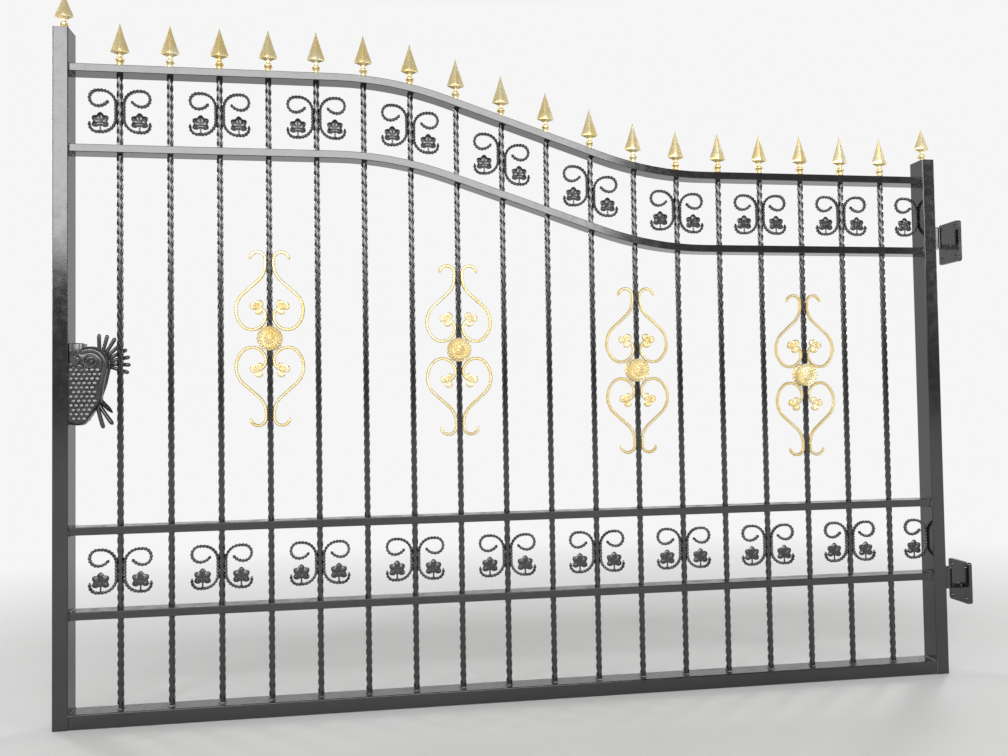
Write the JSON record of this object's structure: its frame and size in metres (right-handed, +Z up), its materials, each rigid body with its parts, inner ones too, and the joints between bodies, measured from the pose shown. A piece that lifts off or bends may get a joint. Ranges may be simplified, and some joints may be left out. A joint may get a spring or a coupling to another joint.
{
  "type": "wrought iron driveway gate leaf",
  "caption": "Tall wrought iron driveway gate leaf with a sweeping S-curved top, twisted bars, gilded spears and scrolls, hung on two pintle hinges.",
  "frame": {"origin": "middle of the lower bracket's mounting face, the face that bolts to the pier", "axes": "+Z up along the hinge pins, +X out of the mounting face into the pier, +Y to the back of the gate; the leaf reaches along -X"},
  "size_m": [2.51, 0.09, 1.874],
  "materials": {
    "black_gloss_paint": "glossy black enamel over steel, dusty on ledges",
    "black_cast_iron": "glossy black paint over cast and hammered iron",
    "gold_paint": "bright gold paint over black iron"
  },
  "bodies": {
    "wall_brackets": {"hinge_bracket_lower": "black_gloss_paint", "hinge_bracket_upper": "black_gloss_paint"},
    "leaf": {"latch_stile": "black_gloss_paint", "hinge_stile": "black_gloss_paint", "bottom_rail": "black_gloss_paint", "low_rail": "black_gloss_paint", "middle_rail": "black_gloss_paint", "lower_wave_rail": "black_gloss_paint", "upper_wave_rail": "black_gloss_paint", "picket_01": "black_gloss_paint", "picket_02": "black_gloss_paint", "picket_03": "black_gloss_paint", "picket_04": "black_gloss_paint", "picket_05": "black_gloss_paint", "picket_06": "black_gloss_paint", "picket_07": "black_gloss_paint", "picket_08": "black_gloss_paint", "picket_09": "black_gloss_paint", "picket_10": "black_gloss_paint", "picket_11": "black_gloss_paint", "picket_12": "black_gloss_paint", "picket_13": "black_gloss_paint", "picket_14": "black_gloss_paint", "picket_15": "black_gloss_paint", "picket_16": "black_gloss_paint", "picket_17": "black_gloss_paint", "picket_18": "black_gloss_paint", "picket_spears": "gold_paint", "latch_stile_spear": "gold_paint", "hinge_stile_spear": "gold_paint", "upper_scrolls": "black_cast_iron", "lower_scrolls": "black_cast_iron", "gilt_panel_1": "gold_paint", "rosette_1": "gold_paint", "gilt_panel_2": "gold_paint", "rosette_2": "gold_paint", "gilt_panel_3": "gold_paint", "rosette_3": "gold_paint", "gilt_panel_4": "gold_paint", "rosette_4": "gold_paint", "fish_handle": "black_cast_iron", "hinge_knuckle_lower": "black_gloss_paint", "hinge_knuckle_upper": "black_gloss_paint"}
  },
  "joints": [
    {"name": "leaf_swing", "type": "hinge", "parent": "wall_brackets", "child": "leaf", "pos_m": [-0.05, 0, 0], "axis": [0, 0, -1], "range_deg": [0, 100]}
  ]
}
